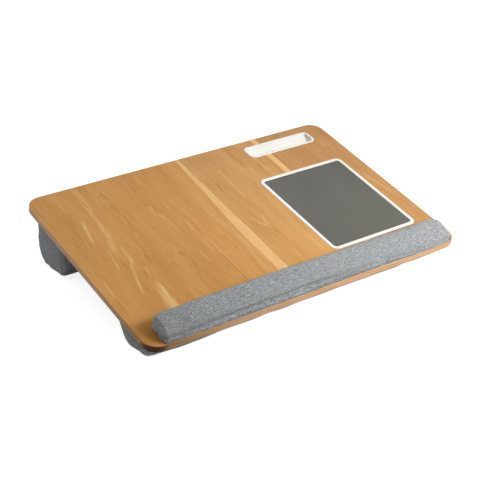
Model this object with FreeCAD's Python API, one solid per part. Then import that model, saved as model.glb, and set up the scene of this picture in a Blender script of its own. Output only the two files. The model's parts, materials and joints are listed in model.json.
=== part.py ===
import FreeCAD, Part
import math
import os

# Lap desk: a wood-veneered board that stands at a slope on two padded bolsters. A padded wrist rest
# runs along its front edge, and a mouse pad and a moulded phone slot are let into its top face.
# Every piece is drawn flat in the board's own frame: X to the right, Y to the back, Z out of the top
# face, with the origin at the middle of that face. The desk is then stood on the floor at its slope.
# Sizes are in millimetres, and angles in degrees.

# Board
BOARD_WIDTH = 560.0
BOARD_DEPTH = 374.0
CORE_THICKNESS = 8.9
TOP_VENEER = 0.6
UNDERSIDE_SHEET = 0.5
EDGE_BAND = 1.0
EDGE_CHAMFER = 0.5
CORNER_RADIUS = 24.0

# Stance: the slope, and the height of the top face's front edge over the floor
SLOPE = 11.5
FRONT_EDGE_HEIGHT = 22.718

# Wrist rest: margins from the board's edges, then its section from front to rear
REST_END_MARGIN = 18.0
REST_SHIFT = 5.0
REST_FRONT_MARGIN = 0.2
REST_DEPTH = 45.8
REST_NOSE_SET_BACK = 2.5
REST_NOSE_HEIGHT = 15.5
REST_NOSE_RADIUS = 5.0
REST_TOP_HEIGHT = 28.5
REST_TOP_LEAN = 5.0
REST_TOP_RADIUS = 11.0
REST_FOOT_RADIUS = 1.5
REST_CREASE_HEIGHT = 10.8
REST_CREASE_DEPTH = 2.5
REST_CREASE_RADIUS = 0.8
REST_END_DRAW = 1.5
REST_BASE_STRIP = 3.0
REST_TAPE = 0.5
REST_TAPE_MARGIN = 5.0

# Mouse pad: its frame stands in a recess behind the wrist rest
PAD_FRAME_WIDTH = 166.0
PAD_RIGHT_MARGIN = 32.2
PAD_REST_GAP = 17.4
PAD_TRAY_GAP = 58.5
PAD_FRAME_BORDER = 5.7
PAD_FRAME_RADIUS = 11.0
PAD_FRAME_PROUD = 0.5
PAD_FRAME_CHAMFER = 0.35
PAD_RECESS = 2.0
PAD_CLEARANCE = 0.2
PAD_SHEET = 1.3
PAD_ADHESIVE = 0.4

# Phone slot: a moulded tray that hangs by its rim in a cut-out
TRAY_WIDTH = 134.0
TRAY_DEPTH = 31.6
TRAY_RIGHT_MARGIN = 35.0
TRAY_BACK_MARGIN = 18.0
TRAY_RADIUS = 9.0
TRAY_RIM_LAP = 2.0
TRAY_RIM_HEIGHT = 0.9
TRAY_RIM_CHAMFER = 0.4
TRAY_WALL = 1.6
TRAY_FLOOR = 1.2
TRAY_GROOVE = 8.0
TRAY_SLOPE_TOP = 1.5
TRAY_DRAFT = 8.0
TRAY_RIB = 1.2
TRAY_BAYS = 5
TRAY_CLEARANCE = 0.25
TRAY_TAPE = 0.2

# Rear bolster: margins from the board's edges, then its section
REAR_END_MARGIN = 10.5
REAR_BACK_MARGIN = 19.0
REAR_DEPTH = 83.0
REAR_BACK_LEAN = 4.0
REAR_FRONT_FLARE = 9.0
REAR_BACK_RADIUS = 34.0
REAR_FRONT_RADIUS = 10.0
REAR_SHOULDER = 5.0
REAR_BACK_DRAW = 3.0
REAR_FRONT_DRAW = 1.5

# Front bolster: a thin lens, drawn in at its front corners to stay under the board's round corners
FRONT_END_MARGIN = 3.0
FRONT_EDGE_MARGIN = 0.8
FRONT_DEPTH = 107.0
FRONT_BACK_LEAN = 38.0
FRONT_FRONT_LEAN = 11.0
FRONT_BACK_RADIUS = 30.0
FRONT_FRONT_RADIUS = 20.0
FRONT_SHOULDER = 2.5
FRONT_BACK_DRAW = 4.0
FRONT_FRONT_DRAW = 3.0

# Both bolsters, and the cloth and tape of all three soft pieces
BOLSTER_END_LIFT = 0.5
BOLSTER_TAPE = 0.6
BOLSTER_TAPE_WIDTH = 18.0
BOLSTER_TAPE_MARGIN = 9.0
COVER_CLOTH = 1.2
FILL_CLEARANCE = 0.3
LEAST_RADIUS = 0.3

# Form of the soft pieces: the crown of their end panels, and how their sections draw in towards the ends
END_CROWN = 3.0
END_CROWN_INSET = 3.5
END_CROWN_ANGLES = (0.0, 45.0, 90.0)
DRAW_START = 0.55
DRAW_POWER = 2
DRAW_STATIONS = (0.55, 0.82, 1.0)

# Worked out from the sizes above
BOARD_THICKNESS = TOP_VENEER + CORE_THICKNESS + UNDERSIDE_SHEET
HALF_WIDTH = BOARD_WIDTH / 2
HALF_DEPTH = BOARD_DEPTH / 2
CORE_TOP = -TOP_VENEER
CORE_BOTTOM = CORE_TOP - CORE_THICKNESS
RISE = math.sin(math.radians(SLOPE))
RUN = math.cos(math.radians(SLOPE))
CENTRE_HEIGHT = FRONT_EDGE_HEIGHT + RISE * HALF_DEPTH
X_AXIS = FreeCAD.Vector(1, 0, 0)
Z_AXIS = FreeCAD.Vector(0, 0, 1)

REST_HALF = HALF_WIDTH - REST_END_MARGIN - END_CROWN
REST_FRONT_Y = -HALF_DEPTH + REST_FRONT_MARGIN
REST_REAR_Y = REST_FRONT_Y + REST_DEPTH
TRAY_X = HALF_WIDTH - TRAY_RIGHT_MARGIN - TRAY_WIDTH / 2
TRAY_Y = HALF_DEPTH - TRAY_BACK_MARGIN - TRAY_DEPTH / 2
TRAY_BODY_DEPTH = -CORE_BOTTOM - TRAY_TAPE
PAD_FRONT_Y = REST_REAR_Y + PAD_REST_GAP
PAD_BACK_Y = TRAY_Y - TRAY_DEPTH / 2 - PAD_TRAY_GAP
PAD_FRAME_LENGTH = PAD_BACK_Y - PAD_FRONT_Y
PAD_X = HALF_WIDTH - PAD_RIGHT_MARGIN - PAD_FRAME_WIDTH / 2
PAD_Y = (PAD_FRONT_Y + PAD_BACK_Y) / 2


def rounded_plate(width, depth, radius, bottom, top, x=0.0, y=0.0):
    """A plate with upright round corners, centred on x, y, from the height bottom to top."""
    plate = Part.makeBox(width, depth, top - bottom, FreeCAD.Vector(x - width / 2, y - depth / 2, bottom))
    upright = [edge for edge in plate.Edges if abs(edge.tangentAt(edge.FirstParameter).z) > 0.9]
    return plate.makeFillet(radius, upright)


def flat_edges(shape, height):
    """The edges of a shape that lie flat at one height."""
    level = 1e-6
    return [edge for edge in shape.Edges
            if abs(edge.BoundBox.ZMin - height) < level and abs(edge.BoundBox.ZMax - height) < level]


def prism(outline, x_from, x_to):
    """A solid of a closed outline of (y, z) points, run along X."""
    points = [FreeCAD.Vector(x_from, y, z) for y, z in outline]
    face = Part.Face(Part.makePolygon(points + points[:1]))
    return face.extrude(X_AXIS * (x_to - x_from))


def rounded_wire(x, corners, radii):
    """A closed wire of lines and arcs at one x, through (y, z) corners rounded by their radii."""
    count = len(corners)
    points = [FreeCAD.Vector(x, y, z) for y, z in corners]
    arcs = []
    for i, corner in enumerate(points):
        back = (points[i - 1] - corner).normalize()
        ahead = (points[(i + 1) % count] - corner).normalize()
        half_angle = back.getAngle(ahead) / 2
        bisector = (back + ahead).normalize()
        reach = radii[i] / math.tan(half_angle)
        middle = corner + bisector * (radii[i] / math.sin(half_angle) - radii[i])
        arcs.append((corner + back * reach, middle, corner + ahead * reach))
    edges = []
    for i, (start, middle, end) in enumerate(arcs):
        edges.append(Part.Arc(start, middle, end).toShape())
        edges.append(Part.LineSegment(end, arcs[(i + 1) % count][0]).toShape())
    return Part.Wire(edges)


def inset(corners, radii, wall):
    """Corners and radii of the same convex section, moved inwards by a wall on every side."""
    count = len(corners)
    middle = FreeCAD.Vector(sum(y for y, _ in corners) / count, sum(z for _, z in corners) / count, 0)
    points = [FreeCAD.Vector(y, z, 0) for y, z in corners]
    lines = []
    for i, point in enumerate(points):
        along = (points[(i + 1) % count] - point).normalize()
        inward = FreeCAD.Vector(-along.y, along.x, 0)
        if inward.dot(middle - point) < 0:
            inward = -inward
        lines.append((point + inward * wall, along))
    moved = []
    for i in range(count):
        (start, along), (other, across) = lines[i - 1], lines[i]
        turn = along.x * across.y - along.y * across.x
        gap = other - start
        step = (gap.x * across.y - gap.y * across.x) / turn
        meet = start + along * step
        moved.append((meet.x, meet.y))
    return moved, [max(radius - wall, LEAST_RADIUS) for radius in radii]


def floor_z(y):
    """Height of the floor in the board's frame, below the line at y."""
    return -(CENTRE_HEIGHT + RISE * y) / RUN


def rear_section(pull):
    """Corners and radii of the rear bolster's section, drawn in by a share of its end draw."""
    back = HALF_DEPTH - REAR_BACK_MARGIN - REAR_BACK_DRAW * pull
    front = HALF_DEPTH - REAR_BACK_MARGIN - REAR_DEPTH + REAR_FRONT_DRAW * pull
    corners = bolster_corners(front, back, back - REAR_BACK_LEAN, front - REAR_FRONT_FLARE, pull)
    return corners, [REAR_SHOULDER, REAR_SHOULDER, REAR_BACK_RADIUS, REAR_FRONT_RADIUS]


def front_section(pull):
    """Corners and radii of the front bolster's section, drawn in by a share of its end draw."""
    edge = -HALF_DEPTH + FRONT_EDGE_MARGIN
    back = edge + FRONT_DEPTH - FRONT_BACK_DRAW * pull
    corners = bolster_corners(edge + FRONT_FRONT_DRAW * pull, back, back - FRONT_BACK_LEAN,
                              edge + FRONT_FRONT_LEAN, pull)
    return corners, [FRONT_SHOULDER, FRONT_SHOULDER, FRONT_BACK_RADIUS, FRONT_FRONT_RADIUS]


def bolster_corners(top_front, top_back, bottom_back, bottom_front, pull):
    """Corners of a bolster's section under the board: flat on the floor, and lifted at its ends."""
    top = -BOARD_THICKNESS - BOLSTER_TAPE
    rise = BOLSTER_END_LIFT * pull
    return [(top_front, top), (top_back, top), (bottom_back, floor_z(bottom_back) + rise),
            (bottom_front, floor_z(bottom_front) + rise)]


def rest_section(pull):
    """Corners and radii of the wrist rest's section: a high rear, a round nose and a crease under it."""
    front = REST_FRONT_Y + REST_END_DRAW * pull
    rear = REST_REAR_Y - REST_END_DRAW * pull
    top = REST_TOP_HEIGHT - REST_END_DRAW * pull
    corners = [(front, REST_TAPE), (rear, REST_TAPE), (rear - REST_TOP_LEAN, top),
               (front + REST_NOSE_SET_BACK, REST_NOSE_HEIGHT), (front + REST_CREASE_DEPTH, REST_CREASE_HEIGHT)]
    radii = [REST_FOOT_RADIUS, REST_FOOT_RADIUS, REST_TOP_RADIUS, REST_NOSE_RADIUS, REST_CREASE_RADIUS]
    return corners, radii


def soft_loft(section, half_length, wall):
    """A crowned solid along X through a section's wires, moved inwards by a wall."""
    wires = []
    for share in [-station for station in reversed(DRAW_STATIONS)] + list(DRAW_STATIONS):
        pull = ((abs(share) - DRAW_START) / (1 - DRAW_START)) ** DRAW_POWER
        corners, radii = inset(*section(pull), wall)
        wires.append(rounded_wire(half_length * share, corners, radii))
    return Part.makeLoft(wires, True, True)


def soft_pieces(name, section, half_length):
    """The sewn wrap of a soft piece, its two end panels and its fill."""
    end_wires = []
    for angle in END_CROWN_ANGLES:
        pulled_in = END_CROWN_INSET * (1 - math.cos(math.radians(angle)))
        corners, radii = inset(*section(1.0), pulled_in)
        out = END_CROWN * math.sin(math.radians(angle))
        end_wires.append(rounded_wire(half_length + out, corners, radii))
    right_end = Part.makeLoft(end_wires, True, True)
    left_end = right_end.mirror(FreeCAD.Vector(), X_AXIS)
    outside = soft_loft(section, half_length, 0.0)
    inside = soft_loft(section, half_length, COVER_CLOTH)
    fill = soft_loft(section, half_length, COVER_CLOTH + FILL_CLEARANCE)
    return {name + "_cover": outside.cut(inside), name + "_end_left": left_end,
            name + "_end_right": right_end, name + "_fill": fill}


def board():
    """The board: its core, two face sheets and edge band, cut out for what is let into it."""
    inner_width = BOARD_WIDTH - 2 * EDGE_BAND
    inner_depth = BOARD_DEPTH - 2 * EDGE_BAND
    inner_radius = CORNER_RADIUS - EDGE_BAND
    recess = rounded_plate(PAD_FRAME_WIDTH + 2 * PAD_CLEARANCE, PAD_FRAME_LENGTH + 2 * PAD_CLEARANCE,
                           PAD_FRAME_RADIUS + PAD_CLEARANCE, -PAD_RECESS, TOP_VENEER, PAD_X, PAD_Y)
    cut_out = tray_body(TRAY_CLEARANCE, CORE_BOTTOM, TOP_VENEER)
    veneer = rounded_plate(inner_width, inner_depth, inner_radius, CORE_TOP, 0.0)
    core = rounded_plate(inner_width, inner_depth, inner_radius, CORE_BOTTOM, CORE_TOP)
    sheet = rounded_plate(inner_width, inner_depth, inner_radius, -BOARD_THICKNESS, CORE_BOTTOM)
    whole = rounded_plate(BOARD_WIDTH, BOARD_DEPTH, CORNER_RADIUS, -BOARD_THICKNESS, 0.0)
    rims = flat_edges(whole, 0.0) + flat_edges(whole, -BOARD_THICKNESS)
    inside = rounded_plate(inner_width, inner_depth, inner_radius, -BOARD_THICKNESS, 0.0)
    band = whole.makeChamfer(min(EDGE_CHAMFER, 0.9 * EDGE_BAND), rims).cut(inside)
    return {"board_core": core.cut(recess).cut(cut_out), "top_veneer": veneer.cut(recess).cut(cut_out),
            "underside_sheet": sheet, "edge_band": band}


def mouse_pad():
    """The mouse pad: a rounded frame in the recess, with the pad sheet and its adhesive inside it."""
    opening_width = PAD_FRAME_WIDTH - 2 * PAD_FRAME_BORDER
    opening_length = PAD_FRAME_LENGTH - 2 * PAD_FRAME_BORDER
    opening_radius = PAD_FRAME_RADIUS - PAD_FRAME_BORDER
    adhesive_top = -PAD_RECESS + PAD_ADHESIVE
    ring = rounded_plate(PAD_FRAME_WIDTH, PAD_FRAME_LENGTH, PAD_FRAME_RADIUS, -PAD_RECESS,
                         PAD_FRAME_PROUD, PAD_X, PAD_Y)
    opening = rounded_plate(opening_width, opening_length, opening_radius, -PAD_RECESS,
                            PAD_FRAME_PROUD, PAD_X, PAD_Y)
    frame = ring.cut(opening)
    frame = frame.makeChamfer(min(PAD_FRAME_CHAMFER, 0.45 * PAD_FRAME_BORDER),
                              flat_edges(frame, PAD_FRAME_PROUD))
    sheets = {}
    for node, bottom, top in (("mouse_pad_adhesive", -PAD_RECESS, adhesive_top),
                              ("mouse_pad_sheet", adhesive_top, adhesive_top + PAD_SHEET)):
        sheets[node] = rounded_plate(opening_width - 2 * PAD_CLEARANCE, opening_length - 2 * PAD_CLEARANCE,
                                     opening_radius - PAD_CLEARANCE, bottom, top, PAD_X, PAD_Y)
    return {"mouse_pad_frame": frame, **sheets}


def tray_body(margin, bottom, top):
    """The upright block of the phone tray inside the board, grown by a margin on every side."""
    return rounded_plate(TRAY_WIDTH - 2 * TRAY_RIM_LAP + 2 * margin,
                         TRAY_DEPTH - 2 * TRAY_RIM_LAP + 2 * margin,
                         TRAY_RADIUS - TRAY_RIM_LAP + margin, bottom, top, TRAY_X, TRAY_Y)


def tray_pocket():
    """The tray's drafted pocket: a groove along the front, and a slope that a device leans back on."""
    depth = TRAY_BODY_DEPTH - TRAY_FLOOR
    width = TRAY_WIDTH - 2 * (TRAY_RIM_LAP + TRAY_WALL)
    length = TRAY_DEPTH - 2 * (TRAY_RIM_LAP + TRAY_WALL)
    radius = TRAY_RADIUS - TRAY_RIM_LAP - TRAY_WALL
    narrowing = depth * math.tan(math.radians(TRAY_DRAFT))
    mouth = rounded_plate(width, length, radius, 0.0, TRAY_RIM_HEIGHT, TRAY_X, TRAY_Y)
    wires = []
    for shrink, height in ((0.0, 0.0), (narrowing, -depth)):
        block = rounded_plate(width - 2 * shrink, length - 2 * shrink, radius, height, height + depth,
                              TRAY_X, TRAY_Y)
        wires.append(Part.Wire(Part.sortEdges(flat_edges(block, height))[0]))
    well = Part.makeLoft(wires, True, True)
    front = TRAY_Y - length / 2
    back = TRAY_Y + length / 2
    slope = prism([(front, 0.0), (front, -depth), (front + TRAY_GROOVE, -depth), (back, -TRAY_SLOPE_TOP),
                   (back, 0.0)], TRAY_X - width, TRAY_X + width)
    return well.common(slope).fuse(mouth).removeSplitter()


def tray_hollow():
    """The hollows under the tray's slope, one in each bay between its ribs."""
    inner_width = TRAY_WIDTH - 2 * (TRAY_RIM_LAP + TRAY_WALL)
    pocket_depth = TRAY_BODY_DEPTH - TRAY_FLOOR
    back = TRAY_Y + TRAY_DEPTH / 2 - TRAY_RIM_LAP - TRAY_WALL
    front = TRAY_Y - TRAY_DEPTH / 2 + TRAY_RIM_LAP + TRAY_WALL + TRAY_GROOVE
    fall = (pocket_depth - TRAY_SLOPE_TOP) / (back - front)
    roof = -TRAY_SLOPE_TOP - TRAY_WALL
    meets_bottom = back - (TRAY_BODY_DEPTH + roof) / fall
    outline = [(back, roof), (back, -TRAY_BODY_DEPTH), (meets_bottom, -TRAY_BODY_DEPTH)]
    bay = (inner_width - (TRAY_BAYS - 1) * TRAY_RIB) / TRAY_BAYS
    starts = [TRAY_X - inner_width / 2 + i * (bay + TRAY_RIB) for i in range(TRAY_BAYS)]
    return Part.makeCompound([prism(outline, start, start + bay) for start in starts])


def phone_tray():
    """The moulded phone tray, and the tape between its floor and the underside sheet."""
    rim = rounded_plate(TRAY_WIDTH, TRAY_DEPTH, TRAY_RADIUS, 0.0, TRAY_RIM_HEIGHT, TRAY_X, TRAY_Y)
    tray = rim.fuse(tray_body(0.0, -TRAY_BODY_DEPTH, 0.0)).removeSplitter()
    tray = tray.cut(tray_pocket()).cut(tray_hollow())
    tray = tray.makeChamfer(min(TRAY_RIM_CHAMFER, 0.9 * TRAY_RIM_HEIGHT), flat_edges(tray, TRAY_RIM_HEIGHT))
    groove_front = TRAY_Y - TRAY_DEPTH / 2 + TRAY_RIM_LAP + TRAY_WALL
    tape_length = TRAY_WIDTH - 2 * (TRAY_RIM_LAP + TRAY_RADIUS)
    tape = Part.makeBox(tape_length, TRAY_GROOVE, TRAY_TAPE,
                        FreeCAD.Vector(TRAY_X - tape_length / 2, groove_front, CORE_BOTTOM))
    return {"phone_tray": tray, "phone_tray_tape": tape}


def wrist_rest():
    """The wrist rest: wrap, end panels, foam on a stiff base strip, and the tape that holds it down."""
    pieces = soft_pieces("wrist_rest", rest_section, REST_HALF)
    fill = pieces.pop("wrist_rest_fill")
    strip_top = REST_TAPE + COVER_CLOTH + FILL_CLEARANCE + REST_BASE_STRIP
    slab = Part.makeBox(2 * BOARD_WIDTH, 2 * BOARD_DEPTH, strip_top,
                        FreeCAD.Vector(-BOARD_WIDTH, -BOARD_DEPTH, 0.0))
    tape_length = 2 * (REST_HALF - REST_TAPE_MARGIN)
    tape = Part.makeBox(tape_length, REST_DEPTH - 2 * REST_TAPE_MARGIN, REST_TAPE,
                        FreeCAD.Vector(-tape_length / 2, REST_FRONT_Y + REST_TAPE_MARGIN, 0.0))
    pieces.update({"wrist_rest_foam": fill.cut(slab), "wrist_rest_base": fill.common(slab),
                   "wrist_rest_tape": tape})
    for piece in pieces.values():
        piece.translate(X_AXIS * REST_SHIFT)
    return pieces


def bolster(name, section, end_margin):
    """A bolster: wrap, end panels and fill, and the two tape strips that hold it to the underside."""
    half_length = HALF_WIDTH - end_margin - END_CROWN
    pieces = soft_pieces(name, section, half_length)
    corners, _ = section(1.0)
    front, back = corners[0][0], corners[1][0]
    length = 2 * (half_length - BOLSTER_TAPE_MARGIN)
    strips = []
    for y in (front + BOLSTER_TAPE_MARGIN, back - BOLSTER_TAPE_MARGIN - BOLSTER_TAPE_WIDTH):
        corner = FreeCAD.Vector(-length / 2, y, -BOARD_THICKNESS - BOLSTER_TAPE)
        strips.append(Part.makeBox(length, BOLSTER_TAPE_WIDTH, BOLSTER_TAPE, corner))
    return {**pieces, name + "_tape": Part.makeCompound(strips)}


def stand(pieces):
    """Turn every piece to the slope, set it on the floor and centre the desk in Y."""
    for shape in pieces.values():
        shape.rotate(FreeCAD.Vector(), X_AXIS, SLOPE)
        shape.translate(Z_AXIS * CENTRE_HEIGHT)
    boxes = [shape.optimalBoundingBox(False, False) for shape in pieces.values()]
    middle = (min(box.YMin for box in boxes) + max(box.YMax for box in boxes)) / 2
    for shape in pieces.values():
        shape.translate(FreeCAD.Vector(0, -middle, 0))


def main():
    """Build every piece, stand the desk on the floor and write one file for each piece."""
    pieces = {}
    pieces.update(board())
    pieces.update(mouse_pad())
    pieces.update(phone_tray())
    pieces.update(wrist_rest())
    pieces.update(bolster("rear_bolster", rear_section, REAR_END_MARGIN))
    pieces.update(bolster("front_bolster", front_section, FRONT_END_MARGIN))
    stand(pieces)
    os.makedirs("parts", exist_ok=True)
    for name, shape in pieces.items():
        shape.exportStep("parts/" + name + ".step")
        box = shape.optimalBoundingBox(False, False)
        print(name, len(shape.Solids), shape.isValid(), round(shape.Volume),
              [round(v, 2) for v in (box.XMin, box.YMin, box.ZMin, box.XMax, box.YMax, box.ZMax)])


main()
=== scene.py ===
"""Looks of the lap desk: finishes for its board and fittings, and its padded pieces as sewn, filled cloth."""

import json
import logging
import math
from dataclasses import dataclass, field
from enum import Enum
from typing import Iterable, Sequence, Union

import bmesh
import bpy
from bpy.types import ID, Material, Node, NodeSocket, NodeTree, Object
from mathutils import Matrix, Vector, noise


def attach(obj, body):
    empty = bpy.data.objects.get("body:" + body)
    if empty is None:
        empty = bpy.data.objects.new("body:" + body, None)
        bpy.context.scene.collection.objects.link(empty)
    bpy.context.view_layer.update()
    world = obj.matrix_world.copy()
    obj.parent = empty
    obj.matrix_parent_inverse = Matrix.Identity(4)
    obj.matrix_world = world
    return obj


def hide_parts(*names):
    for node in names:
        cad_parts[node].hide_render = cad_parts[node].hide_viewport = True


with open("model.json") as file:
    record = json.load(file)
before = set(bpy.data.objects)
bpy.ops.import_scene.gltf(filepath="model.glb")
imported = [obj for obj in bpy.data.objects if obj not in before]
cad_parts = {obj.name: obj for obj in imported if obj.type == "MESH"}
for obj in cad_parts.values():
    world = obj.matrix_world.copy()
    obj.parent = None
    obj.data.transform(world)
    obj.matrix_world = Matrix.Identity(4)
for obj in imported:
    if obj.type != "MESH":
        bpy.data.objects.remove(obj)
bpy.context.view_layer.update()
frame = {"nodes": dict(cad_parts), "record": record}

BODY = "root"
CLOTH_UV = "cloth"
TOUCH = 1e-5
LOG = logging.getLogger("lap_desk")

Colour = tuple[float, float, float, float]
Feed = Union[NodeSocket, float, Sequence[float]]
WHITE: Colour = (1.0, 1.0, 1.0, 1.0)


def shade(red: int, green: int, blue: int) -> Colour:
    """Turn a screen colour into the linear colour that a shader takes.

    Args:
        red: Red, from 0 to 255.
        green: Green, from 0 to 255.
        blue: Blue, from 0 to 255.

    Returns:
        The same colour in linear light, with full alpha.
    """
    def linear(level: int) -> float:
        """Linear light of one channel."""
        share = level / 255
        return share / 12.92 if share <= 0.04045 else ((share + 0.055) / 1.055) ** 2.4

    return linear(red), linear(green), linear(blue), 1.0


def smooth(share: float) -> float:
    """Ease a share from 0 to 1, flat at both ends."""
    share = min(max(share, 0.0), 1.0)
    return share * share * (3 - 2 * share)


def show(name: str, data: ID) -> Object:
    """Put a mesh, lamp or camera in the scene as a new object.

    Args:
        name: Name of the object.
        data: The mesh, lamp or camera.

    Returns:
        The object.
    """
    obj = bpy.data.objects.new(name, data)
    bpy.context.scene.collection.objects.link(obj)
    return obj


def show_shape(name: str, shape: bmesh.types.BMesh) -> Object:
    """Put a finished shape in the scene as a new object, and let go of the shape.

    Args:
        name: Name of the object.
        shape: The shape, which is freed.

    Returns:
        The object.
    """
    mesh = bpy.data.meshes.new(name)
    shape.to_mesh(mesh)
    shape.free()
    return show(name, mesh)


@dataclass(frozen=True)
class Stance:
    """How the board stands: its slope, and the middle of its top face over the floor."""

    slope: float
    middle_y: float
    middle_z: float

    @classmethod
    def from_record(cls, record: dict) -> "Stance":
        """Read the stance from the mount on the board's top face.

        Args:
            record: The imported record.

        Returns:
            The stance of the board.
        """
        mount = next(m for m in record["mounts"] if m["name"] == "laptop_area")
        _, across, up = mount["axis"]
        return cls(math.atan2(-across, up), mount["pos_m"][1], mount["pos_m"][2])

    @property
    def matrix(self) -> Matrix:
        """The transform from the board's own frame to the desk's frame."""
        place = Matrix.Translation((0, self.middle_y, self.middle_z))
        return place @ Matrix.Rotation(self.slope, 4, "X")

    def floor_z(self, y: float) -> float:
        """Height of the floor in the board's own frame, below the line at y."""
        return -(self.middle_z + math.sin(self.slope) * y) / math.cos(self.slope)


class Sheet:
    """A node tree, with short ways to add nodes to it and to join them."""

    def __init__(self, tree: NodeTree) -> None:
        """Hold the tree that nodes are added to."""
        self.tree = tree

    def feed(self, socket: NodeSocket, value: Feed) -> None:
        """Link a socket into an input, or set the input to a plain value.

        Args:
            socket: The input.
            value: What goes into it.
        """
        if isinstance(value, NodeSocket):
            self.tree.links.new(value, socket)
        else:
            socket.default_value = value

    def fill(self, node: Node, feeds: dict[Union[str, int], Feed]) -> None:
        """Feed several inputs of a node, by name or index."""
        for key, value in feeds.items():
            self.feed(node.inputs[key], value)

    def add(self, kind: str, feeds: dict[Union[str, int], Feed], **settings: object) -> Node:
        """Add a node.

        Args:
            kind: The node's type.
            feeds: What goes into its inputs, by name or index.
            **settings: Properties of the node.

        Returns:
            The new node.
        """
        node = self.tree.nodes.new(kind)
        for key, value in settings.items():
            setattr(node, key, value)
        self.fill(node, feeds)
        return node

    def math(self, operation: str, first: Feed, second: Feed = 0.0, third: Feed = 0.0) -> NodeSocket:
        """Result of one sum on up to three numbers."""
        return self.add("ShaderNodeMath", {0: first, 1: second, 2: third}, operation=operation).outputs[0]

    def plus(self, first: Feed, second: Feed) -> NodeSocket:
        """Sum of two numbers."""
        return self.math("ADD", first, second)

    def minus(self, first: Feed, second: Feed) -> NodeSocket:
        """Difference of two numbers."""
        return self.math("SUBTRACT", first, second)

    def times(self, first: Feed, second: Feed) -> NodeSocket:
        """Product of two numbers."""
        return self.math("MULTIPLY", first, second)

    def distance(self, first: Feed, second: Feed) -> NodeSocket:
        """How far apart two places are."""
        node = self.add("ShaderNodeVectorMath", {0: first, 1: second}, operation="DISTANCE")
        return node.outputs["Value"]

    def remap(self, value: Feed, low: Feed, high: Feed,
              to_low: Feed = 0.0, to_high: Feed = 1.0) -> NodeSocket:
        """A value eased from one range to another, held at the ends."""
        feeds = {0: value, 1: low, 2: high, 3: to_low, 4: to_high}
        return self.add("ShaderNodeMapRange", feeds, interpolation_type="SMOOTHSTEP").outputs[0]

    def mix(self, factor: Feed, first: Feed, second: Feed, blend: str = "MIX") -> NodeSocket:
        """Blend of two colours."""
        node = self.add("ShaderNodeMix", {0: factor, 6: first, 7: second}, data_type="RGBA", blend_type=blend)
        return node.outputs[2]

    def place(self, vector: Feed, kind: str = "POINT", **feeds: Feed) -> NodeSocket:
        """A vector moved, turned and scaled by a Mapping node, with inputs named as on the node."""
        named = {key.capitalize(): value for key, value in feeds.items()}
        return self.add("ShaderNodeMapping", {"Vector": vector, **named}, vector_type=kind).outputs[0]

    def into(self, vector: Feed, **feeds: Feed) -> NodeSocket:
        """A vector taken into the frame that the inputs of a Mapping node give."""
        return self.place(vector, "TEXTURE", **feeds)

    def noise(self, vector: Feed, scale: Feed = 1.0, detail: float = 2.0,
              roughness: float = 0.5) -> NodeSocket:
        """Smooth noise from 0 to 1."""
        feeds = {"Vector": vector, "Scale": scale, "Detail": detail, "Roughness": roughness}
        return self.add("ShaderNodeTexNoise", feeds).outputs[0]

    def split(self, vector: Feed) -> tuple[NodeSocket, NodeSocket, NodeSocket]:
        """The three parts of a vector."""
        node = self.add("ShaderNodeSeparateXYZ", {0: vector})
        return node.outputs[0], node.outputs[1], node.outputs[2]

    def join(self, x: Feed, y: Feed, z: Feed = 0.0) -> NodeSocket:
        """A vector from three numbers."""
        return self.add("ShaderNodeCombineXYZ", {0: x, 1: y, 2: z}).outputs[0]

    def group(self, tree: NodeTree, **feeds: Feed) -> Node:
        """Place a shared group, with inputs named in lower case and underscores for spaces.

        Args:
            tree: The group.
            **feeds: What goes into its inputs.

        Returns:
            The node that holds the group.
        """
        node = self.add("ShaderNodeGroup", {}, node_tree=tree)
        for key, value in feeds.items():
            self.feed(node.inputs[key.replace("_", " ").title()], value)
        return node

    def bump(self, height: Feed, distance: float, strength: float) -> NodeSocket:
        """A normal tilted by a height that varies over the surface."""
        feeds = {"Height": height, "Distance": distance, "Strength": strength}
        return self.add("ShaderNodeBump", feeds).outputs[0]


class Effect:
    """A shared shader node group under construction, with named inputs and outputs."""

    def __init__(self, name: str, inputs: dict[str, str], outputs: Iterable[str]) -> None:
        """Make the group and its sockets.

        Args:
            name: Name of the group.
            inputs: Socket kind of each input, "Float" or "Vector", by name.
            outputs: Names of the number outputs.
        """
        self.tree = bpy.data.node_groups.new(name, "ShaderNodeTree")
        for key, kind in inputs.items():
            self.tree.interface.new_socket(name=key, in_out="INPUT", socket_type="NodeSocket" + kind)
        for key in outputs:
            self.tree.interface.new_socket(name=key, in_out="OUTPUT", socket_type="NodeSocketFloat")
        self.sheet = Sheet(self.tree)
        self.given = self.sheet.add("NodeGroupInput", {}).outputs
        self.result = self.sheet.add("NodeGroupOutput", {}).inputs

    def give(self, **values: NodeSocket) -> NodeTree:
        """Link the outputs, named in lower case, and hand over the group.

        Args:
            **values: What each output gives.

        Returns:
            The finished group.
        """
        for key, value in values.items():
            self.sheet.feed(self.result[key.title()], value)
        return self.tree


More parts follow.
